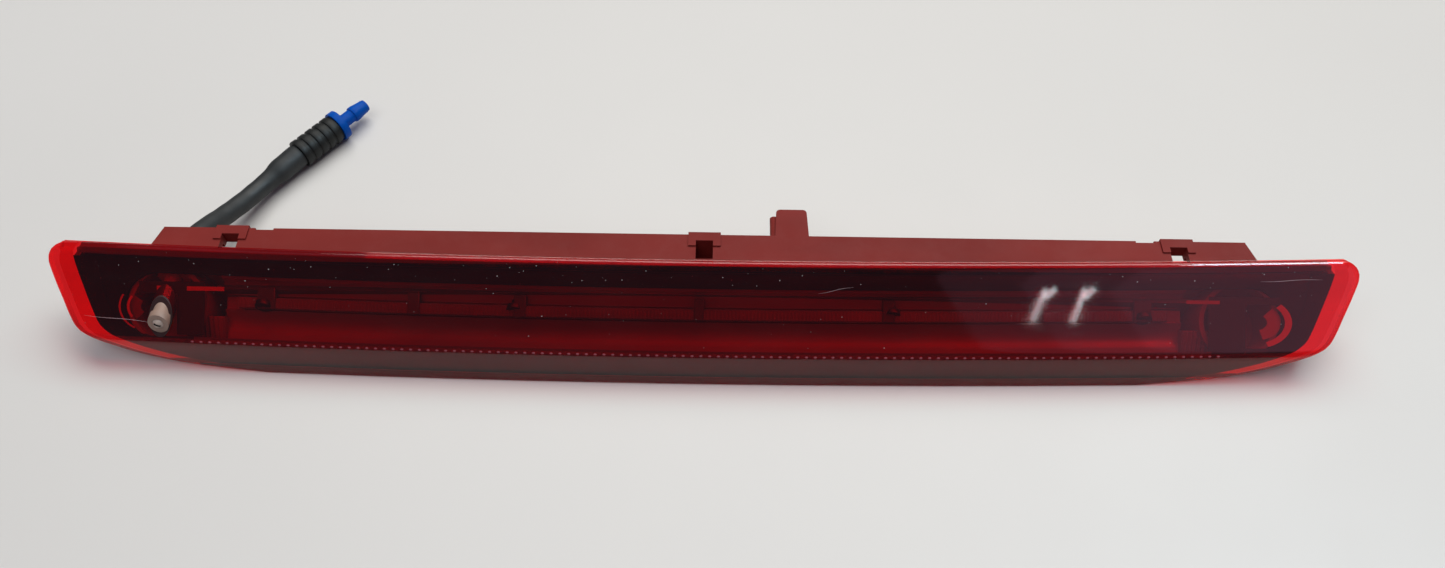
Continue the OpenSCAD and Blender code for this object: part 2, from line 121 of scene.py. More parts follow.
# ---------------------------------------------------------------- material helpers
class Nodes:
    """A material's node tree with short calls for making and joining its nodes."""

    def __init__(self, name):
        self.material = bpy.data.materials.new(name)
        self.material.use_nodes = True
        self.tree = self.material.node_tree
        self.tree.nodes.clear()
        self.coords = self.add("ShaderNodeTexCoord").outputs["Object"]

    def add(self, kind, **values):
        node = self.tree.nodes.new(kind)
        for key, value in values.items():
            setattr(node, key, value)
        return node

    def join(self, source, target):
        self.tree.links.new(source, target)

    def stretched(self, scale):
        mapping = self.add("ShaderNodeMapping")
        mapping.inputs["Scale"].default_value = scale
        self.join(self.coords, mapping.inputs["Vector"])
        return mapping.outputs["Vector"]

    def noise(self, scale, detail=4.0, rough=0.55, stretch=None):
        node = self.add("ShaderNodeTexNoise")
        node.inputs["Scale"].default_value = scale
        node.inputs["Detail"].default_value = detail
        node.inputs["Roughness"].default_value = rough
        self.join(self.stretched(stretch) if stretch else self.coords, node.inputs["Vector"])
        return node.outputs["Fac"]

    def specks(self, scale, size):
        """1 in small round spots, 0 elsewhere."""
        node = self.add("ShaderNodeTexVoronoi")
        node.inputs["Scale"].default_value = scale
        self.join(self.coords, node.inputs["Vector"])
        return self.ramp(node.outputs["Distance"], [(size, 1.0), (size * 1.3, 0.0)])

    def ramp(self, source, stops):
        node = self.add("ShaderNodeValToRGB")
        ramp = node.color_ramp
        while len(ramp.elements) < len(stops):
            ramp.elements.new(0.5)
        for element, (position, value) in zip(ramp.elements, stops):
            element.position = position
            colour = value if isinstance(value, tuple) else (value, value, value)
            element.color = (*colour, 1)
        self.join(source, node.inputs["Fac"])
        return node.outputs["Color"]

    def math(self, operation, a, b):
        node = self.add("ShaderNodeMath", operation=operation)
        for socket, value in zip(node.inputs, (a, b)):
            if isinstance(value, (int, float)):
                socket.default_value = value
            else:
                self.join(value, socket)
        return node.outputs["Value"]

    def mix(self, factor, a, b):
        node = self.add("ShaderNodeMix", data_type="RGBA")
        for socket, value in zip((node.inputs[0], node.inputs[6], node.inputs[7]), (factor, a, b)):
            if isinstance(value, tuple):
                socket.default_value = (*value, 1)
            elif isinstance(value, (int, float)):
                socket.default_value = value
            else:
                self.join(value, socket)
        return node.outputs[2]

    def bump(self, height, strength, distance):
        node = self.add("ShaderNodeBump")
        node.inputs["Strength"].default_value = strength
        node.inputs["Distance"].default_value = distance
        self.join(height, node.inputs["Height"])
        return node.outputs["Normal"]

    def surface(self, shader):
        out = self.add("ShaderNodeOutputMaterial")
        self.join(shader, out.inputs["Surface"])
        return self.material

    def principled(self, colour, rough, normal=None, metallic=0.0, **values):
        node = self.add("ShaderNodeBsdfPrincipled")
        for name, value in (("Base Color", colour), ("Roughness", rough)):
            if isinstance(value, tuple):
                node.inputs[name].default_value = (*value, 1)
            elif isinstance(value, float):
                node.inputs[name].default_value = value
            else:
                self.join(value, node.inputs[name])
        node.inputs["Metallic"].default_value = metallic
        for name, value in values.items():
            node.inputs[name.replace("_", " ")].default_value = value
        if normal is not None:
            self.join(normal, node.inputs["Normal"])
        return node.outputs["BSDF"]


def shade(colour, k):
    """The colour, k times as bright."""
    return tuple(c * k for c in colour)


def moulded(name, colour, rough=0.4, grain=0.00004, dust=0.0, spread=0.14, specular=0.5,
            painted_glow=0.0):
    """Injection-moulded plastic: faint flow mottling, a fine grain and a little dust; any emission
    is a painted glow.
    """
    n = Nodes(name)
    flow = n.noise(38, 3, 0.5, (0.4, 1.0, 1.0))
    fine = n.noise(900, 3, 0.6)
    tone = n.ramp(flow, [(0.3, shade(colour, 1 - spread)), (0.7, shade(colour, 1 + spread))])
    if dust:
        mask = n.math("MULTIPLY", n.ramp(n.noise(160, 5, 0.7), [(0.5, 0.0), (0.8, 1.0)]), dust)
        tone = n.mix(mask, tone, (0.62, 0.58, 0.55))
    gloss = n.ramp(n.noise(120, 4), [(0.3, rough - 0.06), (0.7, rough + 0.08)])
    # Emission here is painted glow: the plastic gives no light of its own.
    return n.surface(n.principled(tone, gloss, n.bump(fine, 0.5, grain),
                                  Specular_IOR_Level=specular, Emission_Strength=painted_glow,
                                  Emission_Color=(*colour, 1)))


def rubber(name, colour, rough=0.62):
    n = Nodes(name)
    tone = n.ramp(n.noise(210, 5, 0.7), [(0.3, shade(colour, 0.75)), (0.75, shade(colour, 1.5))])
    gloss = n.ramp(n.noise(90, 4), [(0.3, rough - 0.1), (0.7, rough + 0.08)])
    return n.surface(n.principled(tone, gloss, n.bump(n.noise(1500, 2), 0.35, 0.00003)))


def metal(name, colour, rough=0.3):
    n = Nodes(name)
    tone = n.ramp(n.noise(300, 4), [(0.3, shade(colour, 0.8)), (0.7, shade(colour, 1.1))])
    gloss = n.ramp(n.noise(500, 5, 0.6), [(0.3, rough - 0.08), (0.7, rough + 0.12)])
    return n.surface(n.principled(tone, gloss, n.bump(n.noise(1200, 3), 0.3, 0.00002),
                                  metallic=1.0))


# Share of light that clear acrylic mirrors, against 1 - cosine of the angle it is seen at.
MIRROR = [(0.0, 0.04), (0.3, 0.052), (0.5, 0.09), (0.7, 0.2), (0.85, 0.42), (1.0, 1.0)]


def lens_material(name, tint, rough, haze=0.0):
    """Clear coloured acrylic: each surface lets a tinted share through and mirrors the rest."""
    n = Nodes(name)
    through = n.add("ShaderNodeBsdfTransparent")
    through.inputs["Color"].default_value = (*tint, 1)
    gloss = n.add("ShaderNodeBsdfAnisotropic")
    gloss.inputs["Color"].default_value = (1, 1, 1, 1)
    smear = n.ramp(n.noise(55, 4, 0.6, (0.35, 1.0, 1.0)), [(0.35, rough), (0.75, rough * 2.2)])
    n.join(smear, gloss.inputs["Roughness"])
    wave = n.bump(n.noise(26, 2, 0.4, (0.5, 1.0, 1.0)), 0.12, 0.0004)
    n.join(wave, gloss.inputs["Normal"])
    tilt = n.add("ShaderNodeLayerWeight")
    tilt.inputs["Blend"].default_value = 0.5
    n.join(wave, tilt.inputs["Normal"])
    mirror = n.ramp(tilt.outputs["Facing"], MIRROR)
    body = n.add("ShaderNodeMixShader")
    n.join(mirror, body.inputs["Fac"])
    n.join(through.outputs["BSDF"], body.inputs[1])
    n.join(gloss.outputs["BSDF"], body.inputs[2])
    if not haze:
        return n.surface(body.outputs["Shader"])
    dust = n.add("ShaderNodeBsdfDiffuse")
    dust.inputs["Color"].default_value = (0.75, 0.68, 0.68, 1)
    film = n.ramp(n.noise(70, 6, 0.65, (0.3, 1.0, 1.0)), [(0.45, 0.0), (0.9, haze)])
    mask = n.math("MAXIMUM", film, n.math("MULTIPLY", n.specks(260, 0.03), 0.25))
    top = n.add("ShaderNodeMixShader")
    n.join(mask, top.inputs["Fac"])
    n.join(body.outputs["Shader"], top.inputs[1])
    n.join(dust.outputs["BSDF"], top.inputs[2])
    return n.surface(top.outputs["Shader"])


MATERIALS = {
    "housing": moulded("red_nylon", (0.205, 0.022, 0.018), 0.58, dust=0.012, specular=0.12),
    "outer_lens": lens_material("red_acrylic", (0.97, 0.1, 0.11), 0.03, haze=0.006),
    "bezel": moulded("black_plastic", (0.006, 0.004, 0.005), 0.45, specular=0.2),
    "reflector": moulded("carrier_plastic", (0.17, 0.03, 0.03), 0.35, spread=0.25),
    "inner_optic": moulded("clear_optic", (0.12, 0.04, 0.04), 0.14, spread=0.4),
    "circuit_board": moulded("board_laminate", (0.05, 0.16, 0.06), 0.35),
    "leds": moulded("led_package", (0.8, 0.74, 0.6), 0.25),
    "resistors": moulded("chip_ceramic", (0.02, 0.02, 0.022), 0.4),
    "driver_chips": moulded("chip_black", (0.015, 0.015, 0.015), 0.45),
    "terminal_pins": metal("tinned_brass", (0.75, 0.7, 0.58), 0.25),
    "board_screws": metal("black_zinc", (0.05, 0.045, 0.045), 0.5),
    "nozzle_nut": metal("zinc_nut", (0.55, 0.55, 0.57), 0.32),
    "vent_patch": rubber("vent_membrane", (0.75, 0.74, 0.7), 0.8),
    "nozzle_body": moulded("beige_plastic", (0.3, 0.2, 0.155), 0.5, spread=0.2),
    "jet_ball": moulded("beige_ball", (0.45, 0.36, 0.31), 0.45),
    "lens_grommet": rubber("grommet_rubber", (0.022, 0.003, 0.003), 0.7),
    "nozzle_gasket": rubber("gasket_rubber", (0.015, 0.015, 0.015)),
    "washer_hose": rubber("hose_rubber", (0.011, 0.013, 0.013), 0.6),
    "valve_body": moulded("valve_black", (0.008, 0.009, 0.008), 0.5, specular=0.3),
    "valve_cap": moulded("blue_plastic", (0.0, 0.078, 0.43), 0.4, specular=0.08),
    "valve_plunger": moulded("white_plastic", (0.7, 0.7, 0.67), 0.4),
    "plunger_seal": rubber("seal_rubber", (0.02, 0.02, 0.02)),
    "valve_spring": metal("spring_steel", (0.6, 0.6, 0.62), 0.22),
}


# ---------------------------------------------------------------- mesh helpers
def make_object(name, vertices, faces, material, body=BODY, smooth=35):
    """Mesh object on a body, smooth but for edges sharper than this many degrees."""
    mesh = bpy.data.meshes.new(name)
    mesh.from_pydata([tuple(v) for v in vertices], [], faces)
    mesh.validate()
    bm = bmesh.new()
    bm.from_mesh(mesh)
    bmesh.ops.remove_doubles(bm, verts=bm.verts, dist=1e-7)
    bmesh.ops.recalc_face_normals(bm, faces=bm.faces)
    for edge in bm.edges:
        edge.smooth = not (edge.is_manifold and edge.calc_face_angle(0) > math.radians(smooth))
    for face in bm.faces:
        face.smooth = True
    bm.to_mesh(mesh)
    bm.free()
    mesh.materials.append(material)
    obj = bpy.data.objects.new(name, mesh)
    bpy.context.scene.collection.objects.link(obj)
    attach(obj, body)
    return obj


def grid_faces(rows, columns, start=0, ring=False):
    """Quads between rows of points; ring closes each row on itself."""
    faces = []
    for i in range(rows - 1):
        for j in range(columns if ring else columns - 1):
            k = (j + 1) % columns
            a, b = start + i * columns, start + (i + 1) * columns
            faces.append((a + j, a + k, b + k, b + j))
    return faces


def soften(obj, width):
    """Rounds the sharp edges of a CAD piece."""
    weld = obj.modifiers.new("weld", "WELD")
    weld.merge_threshold = 1e-6
    bevel = obj.modifiers.new("soft_edges", "BEVEL")
    bevel.width = width * MM
    bevel.segments = 2
    bevel.limit_method = "ANGLE"
    bevel.angle_limit = math.radians(30)
    bevel.use_clamp_overlap = True
    bevel.harden_normals = False


# ---------------------------------------------------------------- washer hose
# Stops of the centre line from the nozzle's rear to the valve, as in the CAD model.
HOSE_STOPS = [(-181, 10.5, 17.3), (-181, 17, 17.2), (-178.2, 26, 14.6), (-175.4, 35, 10.6),
              (-171.7, 44.3, 7.6), (-167.8, 52.4, 6.3), (-163.3, 60.3, 6), (-157.5, 69.2, 6)]
HOSE_R = 3.65
HOSE_MAX_R = 4.6
# How far the hose swells over the valve's barb and the nozzle's, and for what length.
VALVE_SWELL, VALVE_SWELL_RUN = 0.95, 12.5
NOZZLE_SWELL, NOZZLE_SWELL_RUN = 0.35, 8.0
HOSE_SIDES = 32
VALVE_AXIS = Vector((math.cos(VALVE_TURN), math.sin(VALVE_TURN), 0))


def curve_through(stops, parts):
    """Catmull-Rom curve through the stops, with this many parts between two stops."""
    points = [Vector(s) for s in stops]
    line = []
    for i in range(len(points) - 1):
        a, b = points[max(0, i - 1)], points[i]
        c, d = points[i + 1], points[min(len(points) - 1, i + 2)]
        for j in range(parts):
            t = j / parts
            line.append(0.5 * (2 * b + (c - a) * t + (2 * a - 5 * b + 4 * c - d) * t * t
                               + (3 * b - a - 3 * c + d) * t ** 3))
    return line + [points[-1]]


def make_hose():
    line = [p * MM for p in curve_through(HOSE_STOPS, 5)]
    fine = [p * MM for p in curve_through(HOSE_STOPS, 14)]
    length = sum((b - a).length for a, b in zip(line, line[1:]))
    rings = []
    run = 0.0
    total = sum((b - a).length for a, b in zip(fine, fine[1:]))
    for i, p in enumerate(fine):
        if i:
            run += (p - fine[i - 1]).length
        if i == 0:
            along = Vector((0, 1, 0))
        elif i == len(fine) - 1:
            along = VALVE_AXIS
        else:
            along = (fine[i + 1] - fine[i - 1]).normalized()
        side = along.cross(Vector((0, 0, 1))).normalized()
        up = side.cross(along)
        left = (total - run) / MM
        swell = 1.0 / (1.0 + math.exp((left - VALVE_SWELL_RUN) * 0.9))
        collar = 1.0 / (1.0 + math.exp((run / MM - NOZZLE_SWELL_RUN) * 1.6))
        radius = HOSE_R * (0.99 + 0.01 * math.cos(run / MM * 0.9))
        radius += VALVE_SWELL * swell + NOZZLE_SWELL * collar
        radius = min(radius, HOSE_MAX_R)
        rings.append([p + (side * math.cos(a) + up * math.sin(a)) * radius * MM
                      for a in (2 * math.pi * j / HOSE_SIDES for j in range(HOSE_SIDES))])
    points = [q for ring in rings for q in ring]
    faces = grid_faces(len(rings), HOSE_SIDES, ring=True)
    faces.append(tuple(range(HOSE_SIDES)))
    faces.append(tuple((len(rings) - 1) * HOSE_SIDES + j for j in range(HOSE_SIDES)))
    hose = make_object("rubber_hose", points, faces, MATERIALS["washer_hose"])
    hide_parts("washer_hose")
    return hose, line, length


hose, hose_line, hose_length = make_hose()


# ---------------------------------------------------------------- lens
# Half lengths x at drops v below the top rim, both seen square to the large face.
OUTLINE = [(-12, 206), (-4, 211), (-2.2, 215.6), (-0.2, 218.7), (2.2, 219.9), (4.4, 220),
           (10.9, 217.6), (17.3, 214.8), (23.6, 212), (27.2, 209.6), (29.8, 205.6), (32.3, 199.5),
           (35, 191.5), (37.3, 182), (39, 172), (40.3, 160), (41.3, 148), (47, 130)]
MARGIN = [(-3.4, 206), (-1.9, 210.2), (0.1, 212.3), (2.8, 212.5), (13.5, 208.6), (23.5, 204.4),
          (26.5, 202.4), (29.4, 198.4), (32.6, 191), (35.5, 181.5), (37.7, 171.5), (39.3, 159.5),
          (40.4, 147.5), (43, 138)]
MASK_EDGE = [(-3.4, 200), (0, 204), (10, 203), (19, 200), (24, 197), (27, 193), (29.5, 188.6),
             (31, 183), (33, 172), (36, 156), (38.6, 138), (43, 120)]


def smooth_through(knots, v):
    """Smooth curve through (v, x) knots."""
    if v <= knots[0][0]:
        return knots[0][1]
    for i in range(len(knots) - 1):
        (v0, x0), (v1, x1) = knots[i], knots[i + 1]
        if v <= v1:
            before, after = knots[max(0, i - 1)], knots[min(len(knots) - 1, i + 2)]
            m0 = (x1 - before[1]) / (v1 - before[0]) * (v1 - v0)
            m1 = (after[1] - x0) / (after[0] - v0) * (v1 - v0)
            t = (v - v0) / (v1 - v0)
            return ((2 * t ** 3 - 3 * t * t + 1) * x0 + (t ** 3 - 2 * t * t + t) * m0
                    + (3 * t * t - 2 * t ** 3) * x1 + (t ** 3 - t * t) * m1)
    return knots[-1][1]


def on_lens(x, v, inset):
    """Point under the outer surface by inset, at x and at drop v below the middle of the rim."""
    along = RUN - v
    out = FACE_N - inset - bow(x) * math.sin(SLOPE)
    d = along * math.cos(SLOPE) - out * math.sin(SLOPE)
    z = along * math.sin(SLOPE) + out * math.cos(SLOPE)
    start = lower_d(0, inset) + bow(x)
    low_z = (along - start * math.cos(SLOPE)) / (math.sin(SLOPE)
                                                 + math.tan(LOWER_TILT) * math.cos(SLOPE))
    if low_z < z:
        d, z = start + low_z * math.tan(LOWER_TILT), low_z
    return straight(x, d, z)


def along_bow(x, v):
    """Drop at x of a line that follows the bow and is v below the rim in the middle."""
    return v - bow(x) * math.cos(SLOPE)


def face_z(d, inset):
    """Height of the large face at depth d, under its surface by inset."""
    return (FACE_N - inset + d * math.sin(SLOPE)) / math.cos(SLOPE)


def lower_d(z, inset):
    """Depth of the small lower face at height z, under its surface by inset."""
    return CREASE_D - (CREASE_Z - z) * math.tan(LOWER_TILT) + inset / math.cos(LOWER_TILT)


def crease(inset):
    """Point (d, z) where the two faces would meet, under their surfaces by inset."""
    a = (FACE_N - inset) / math.cos(SLOPE)
    b = math.tan(SLOPE)
    z = (a + b * lower_d(0, inset)) / (1 - b * math.tan(LOWER_TILT))
    return Vector((lower_d(z, inset), z))


def arc(p, q, s, radius, parts):
    """Points of the arc that rounds corner q of the path p, q, s."""
    a, b = (p - q).normalized(), (s - q).normalized()
    half = math.acos(max(-1, min(1, a.dot(b)))) / 2
    centre = q + (a + b).normalized() * radius / math.sin(half)
    start = q + a * radius / math.tan(half) - centre
    sweep = (math.pi - 2 * half) * (-1 if a.x * b.y - a.y * b.x > 0 else 1)
    points = []
    for i in range(parts + 1):
        t = sweep * i / parts
        points.append(centre + Vector((start.x * math.cos(t) - start.y * math.sin(t),
                                       start.x * math.sin(t) + start.y * math.cos(t))))
    return points


def between(a, b, parts):
    """Points from a towards b, without b."""
    return [a.lerp(b, i / parts) for i in range(parts)]


RIM_R = 1.5
FOLD_R = 6.0
INNER_FOLD_R = 1.2
RIM_LOW_Z = 29.62
LENS_COLUMNS = 110


def lens_section():
    """Outer and inner (d, z) points of the lens wall, from the rim's underside to the foot."""
    rim_low, rim = Vector((RIM_D, RIM_LOW_Z)), Vector((RIM_D, LENS_H))
    fold, foot = crease(0), Vector((0, FOOT_Z))
    rim_arc = arc(rim_low, rim, fold, RIM_R, 8)
    fold_arc = arc(rim, fold, foot, FOLD_R, 8)
    outer = (between(rim_low, rim_arc[0], 1) + rim_arc
             + between(rim_arc[-1], fold_arc[0], 24)[1:] + fold_arc
             + between(fold_arc[-1], foot, 10)[1:] + [foot])
    inner_low = Vector((WALL_D, RIM_LOW_Z))
    inner_top = Vector((WALL_D, face_z(WALL_D, LENS_T)))
    inner_fold = crease(LENS_T)
    inner_foot = Vector((lower_d(FOOT_Z, LENS_T), FOOT_Z))
    inner_arc = arc(inner_top, inner_fold, inner_foot, INNER_FOLD_R, 8)
    inner = (between(inner_low, inner_top, 1 + len(rim_arc))
             + between(inner_top, inner_arc[0], 23) + inner_arc
             + between(inner_arc[-1], inner_foot, 10)[1:] + [inner_foot])
    return outer, inner


def smooth_step(t):
    t = max(0.0, min(1.0, t))
    return t * t * (3 - 2 * t)


# The lens turns down at its ends: rounding outside and inside, depth of the skirt.
EDGE_R = 1.3
INNER_EDGE_R = 0.4
SKIRT = 8.0
EDGE_STEPS = 5


def lens_row(point, inset):
    """One line of lens points from end to end through a section point, skirts included."""
    d, z = point
    scale = 1 - inset / (LENS_W / 2)

    def end_x():
        x = LENS_W / 2 * scale
        for _ in range(8):
            drop = RUN - ((d + bow(x)) * math.cos(SLOPE) + z * math.sin(SLOPE))
            x = min(LENS_W / 2, smooth_through(OUTLINE, drop)) * scale
        return x

    edge = end_x()
    from_rim = (RIM_D - d) / math.cos(SLOPE)
    depth = SKIRT - inset
    turn = smooth_step(from_rim / 7)
    sink = Vector((0, -1)).lerp(-FACE_NORMAL, turn).normalized()
    reach = (1 - turn) * max(0.03, z - RIM_LOW_Z) + turn * depth
    reach = max(0.03, min(reach, (z - FOOT_Z) / max(0.2, -sink.y)))
    radius = min(INNER_EDGE_R if inset else EDGE_R, reach)
    half = []
    for j in range(1, EDGE_STEPS + 1):
        t = math.pi / 2 * j / EDGE_STEPS
        half.append((edge - radius * (1 - math.sin(t)), radius * (1 - math.cos(t))))
    half += [(edge, radius + (reach - radius) * k / 3) for k in (1, 2, 3)]
    flat = edge - radius
    across = [flat * (2 * i / LENS_COLUMNS - 1) for i in range(LENS_COLUMNS + 1)]
    row = [place(-x, d + sink.x * s, z + sink.y * s) for x, s in reversed(half)]
    row += [place(x, d, z) for x in across]
    row += [place(x, d + sink.x * s, z + sink.y * s) for x, s in half]
    return row


def shell(name, top, bottom, material, smooth=40):
    """Closed solid between two grids of points that have the same rows and columns."""
    width = len(top[0])
    count = len(top) * width
    points = [p for row in top + bottom for p in row]
    faces = grid_faces(len(top), width)
    faces += [tuple(reversed(f)) for f in grid_faces(len(bottom), width, start=count)]
    last = (len(top) - 1) * width
    for j in range(width - 1):
        faces.append((j + 1, j, count + j, count + j + 1))
        faces.append((last + j, last + j + 1, count + last + j + 1, count + last + j))
    for i in range(len(top) - 1):
        a, b = i * width, (i + 1) * width
        faces.append((a, b, count + b, count + a))
        faces.append((b + width - 1, a + width - 1, count + a + width - 1,
                      count + b + width - 1))
    return make_object(name, points, faces, material, smooth=smooth)


def make_lens():
    """Closed lens shell with its hole for the nozzle."""
    outer, inner = lens_section()
    lens = shell("red_lens", [lens_row(p, 0) for p in outer],
                 [lens_row(p, LENS_T) for p in inner], MATERIALS["outer_lens"])
    cut_round_hole(lens, JET_X, JET_Z, JET_HOLE_R)
    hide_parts("outer_lens")


def cut_round_hole(obj, x, z, radius):
    """Cuts a hole along Y through obj, for good."""
    bpy.ops.mesh.primitive_cylinder_add(vertices=64, radius=radius * MM, depth=40 * MM,
                                        location=straight(x, 14, z),
                                        rotation=(math.pi / 2, 0, 0))
    tool = bpy.context.object
    cut = obj.modifiers.new("hole", "BOOLEAN")
    cut.operation = "DIFFERENCE"
    cut.solver = "EXACT"
    cut.object = tool
    bpy.context.view_layer.update()
    shape = bpy.data.meshes.new_from_object(
        obj.evaluated_get(bpy.context.evaluated_depsgraph_get()))
    obj.modifiers.remove(cut)
    obj.data = shape
    bpy.data.objects.remove(tool)


make_lens()


# ---------------------------------------------------------------- lens margins
# Thin sheets lie between the lens, 2.5 thick, and the housing, 2.62 below the surface.
UNDER_LENS = (2.53, 2.58)
SHEET_PARTS = 90
SHEET_HALF = 209
WALL_FRONT = 28.34


def steps(a, b, count):
    """Even values from a to b, in count parts."""
    return [a + (b - a) * i / count for i in range(count + 1)]


def end_band(name, side, outer, inner, drops, insets, material):
    """Thin band between two curves x(v) under one end of the lens."""
    grids = []
    for inset in insets:
        grid = []
        for v in steps(drops[0], drops[1], 70):
            a, b = smooth_through(outer, v), smooth_through(inner, v)
            grid.append([on_lens(side * (a + (b - a) * k / 6), v, inset) for k in range(7)])
        grids.append(grid)
    shell(name, grids[0], grids[1], material)


def bowed_sheet(name, corners, half_length, thickness, material):
    """Strip along the whole lens whose section is a few (d, z) points."""
    xs = steps(-half_length, half_length, SHEET_PARTS)
    top = [[place(x, d, z) for x in xs] for d, z in corners]
    low = [[place(x, d, z - thickness) for x in xs] for d, z in corners]
    shell(name, top, low, material)


def rim_edge_z(x):
    """Height at which the mask ends under the rim: it drops towards both ends."""
    return 29.3 - 3.2 * math.sin(math.pi / 2 * min(1.0, abs(x) / 185)) ** 2


def wall_sheet(name, low, high, depth, material):
    """Upright strip behind the rim between two heights that are functions of x."""
    grids = []
    for d in (depth, depth + 0.06):
        grids.append([[place(x, d, low(x) + (high(x) - low(x)) * k / 3)
                       for x in steps(-SHEET_HALF, SHEET_HALF, SHEET_PARTS)]
                      for k in range(4)])
    shell(name, grids[0], grids[1], material)


def make_margins():
    """Frosted weld line all round under the lens, and the black mask inside it; the weld's end
    bands are painted bright and given a painted glow as light scattered through the lens ends.
    """
    # Painted light: the frosted weld's pale colour and its emission stand in for light scattered
    # through the lens ends.
    frosted_painted_light = moulded("frosted_weld_painted_light", (0.84, 0.42, 0.44), 0.6, spread=0.2, painted_glow=0.08)
    tail = moulded("weld_tail", (0.22, 0.06, 0.07), 0.6, spread=0.2, specular=0.1)
    dull = moulded("dull_weld", (0.18, 0.035, 0.035), 0.7, spread=0.3, specular=0.0)
    inner_outline = [(v, x - 1.0) for v, x in OUTLINE]
    for side, hand in ((-1, "left"), (1, "right")):
        end_band("weld_band_" + hand, side, inner_outline, MARGIN, (-1.6, 37.0), UNDER_LENS,
                 frosted_painted_light)
        end_band("weld_tail_" + hand, side, inner_outline, MARGIN, (37.0, 38.3), UNDER_LENS,
                 tail)
        end_band("mask_edge_" + hand, side, MARGIN, MASK_EDGE, (2.6, 30.7), UNDER_LENS,
                 MATERIALS["bezel"])
    bowed_sheet("weld_strip", [(28.5, 29.58), (30.3, 29.58)], SHEET_HALF, 0.05, dull)
    bowed_sheet("mask_strip", [(27.2, 25.6), (28.2, 25.8)], SHEET_HALF, 0.06,
                MATERIALS["bezel"])
    wall_sheet("mask_wall", lambda x: 25.7, rim_edge_z, WALL_FRONT,
               MATERIALS["bezel"])
    wall_sheet("weld_wall", rim_edge_z, lambda x: 29.52, WALL_FRONT, dull)


def face_sheet(name, drops, reach, insets, material):
    """Sheet under the lens between lines that follow the bow, as far as reach or the margin."""
    grids = []
    for inset in insets:
        grid = []
        for v in drops:
            end = 170.0
            for _ in range(8):
                end = min(reach, smooth_through(MARGIN, along_bow(end, v)))
            grid.append([on_lens(x, along_bow(x, v), inset)
                         for x in steps(-end, end, SHEET_PARTS)])
        grids.append(grid)
    shell(name, grids[0], grids[1], material)


def foot_front(x):
    """Front of the lens foot: the outline cuts it back at both ends."""
    return 0.15 + max(0.0, abs(x) - 148) * 0.085


def make_lower_sheets():
    """Dark sheets under the small lower face, along the crease and below the foot; the one below
    the foot is painted contact shade.
    """
    brown = moulded("lower_mask", (0.02, 0.006, 0.006), 0.5, specular=0.2)
    deep = moulded("crease_tint", (0.09, 0.014, 0.02), 0.5, specular=0.2)
    # Painted shade: the dark sheet between the lens foot and the bench stands in for contact
    # shadow.
    foot = moulded("foot_contact_shade", (0.085, 0.03, 0.032), 0.6, specular=0.1)
    face_sheet("lower_mask", (33.8, 34.5, 36, 38, 39.6, 40.8), 220, UNDER_LENS, brown)
    face_sheet("crease_tint", (31.7, 32.3, 32.9, 33.4, 33.75), 171, (2.6, 2.65), deep)
    grids = []
    for z in (0.46, 0.41):
        grids.append([[place(x, foot_front(x) + (2.6 - foot_front(x)) * k / 2, z)
                       for x in steps(-172, 172, SHEET_PARTS)] for k in range(3)])
    shell("foot_contact_shade", grids[0], grids[1], foot)


make_margins()
make_lower_sheets()


# ---------------------------------------------------------------- carrier, optic and posts
def carrier_section():
    """Depth under the lens against drop v: ledge, upper wall, channel and curved floor."""
    section = [(9.6, 4.7), (11.0, 4.7), (11.7, 5.0), (12.1, 6.6), (14.0, 7.6), (17.2, 8.2),
               (17.5, 9.4), (21.9, 9.4), (22.2, 8.2)]
    section += [(22.2 + 10.3 * t, 8.2 + 2.2 * math.sin(math.pi * t) - 0.9 * t)
                for t in (i / 12 for i in range(1, 13))]
    return section


def make_carrier():
    """Red carrier behind the window, with the channel that the diodes shine from."""
    half = 163
    xs = steps(-half, half, 60)
    section = carrier_section()
    top = [[on_lens(x, along_bow(x, v), k) for x in xs] for v, k in section]
    low = [[on_lens(x, along_bow(x, v), k + 1.2) for x in xs] for v, k in section]
    carrier = shell("diode_carrier", top, low, MATERIALS["reflector"], smooth=50)
    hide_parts("reflector")


def make_optic():
    """Clear bar with upright flutes in front of the diodes."""
    pitch, half = 1.25, 157.5
    count = int(2 * half / pitch)
    xs = [-half + pitch * (i + t) for i in range(count) for t in (0, 0.22, 0.5, 0.78)]
    section = [(17.7, 6.6, 0.0), (18.2, 6.0, 1.0), (19.7, 5.8, 1.0), (21.2, 6.0, 1.0),
               (21.7, 6.6, 0.0)]
    wave = (0.0, 0.24, 0.4, 0.24)
    top = [[on_lens(x, along_bow(x, v), k + 0.45 * fluted * wave[i % 4]) for i, x in enumerate(xs)]
           for v, k, fluted in section]
    low = [[on_lens(x, along_bow(x, v), 8.6) for x in xs] for v, _, _ in section]
    optic = shell("fluted_optic", top, low, MATERIALS["inner_optic"], smooth=20)
    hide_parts("inner_optic")


def lens_block(x0, x1, v0, v1, k0, k1, ribs=0):
    """Top and bottom grids of a block under the lens, ribbed upright where ribs is not 0."""
    count = max(1, ribs) * 4
    edge = 0.25
    xs = [x0, x0 + edge] + steps(x0 + edge, x1 - edge, count)[1:-1] + [x1 - edge, x1]
    vs = [(v0, 1), (v0 + edge, 0), (v1 - edge, 0), (v1, 1)]

    def top(i, dropped):
        rib = 0.5 * (1 - math.cos(2 * math.pi * (i - 1) / 4)) if ribs else 0
        fall = edge if dropped or i in (0, len(xs) - 1) else 0
        return k0 + fall + 0.5 * rib

    upper = [[on_lens(x, v, top(i, e)) for i, x in enumerate(xs)] for v, e in vs]
    lower = [[on_lens(x, v, k1) for x in xs] for v, e in vs]
    return upper, lower


def add_block(name, span, drops, depths, material, ribs=0):
    """Block between two x, two drops and two depths under the lens."""
    upper, lower = lens_block(*span, *drops, *depths, ribs)
    shell(name, upper, lower, material)


# Middle x and half width of the posts in front of the carrier.
POSTS = ((-148, 3), (-98, 2), (-62, 2), (-1.5, 1.6), (62.5, 2), (113, 2), (148.5, 3))


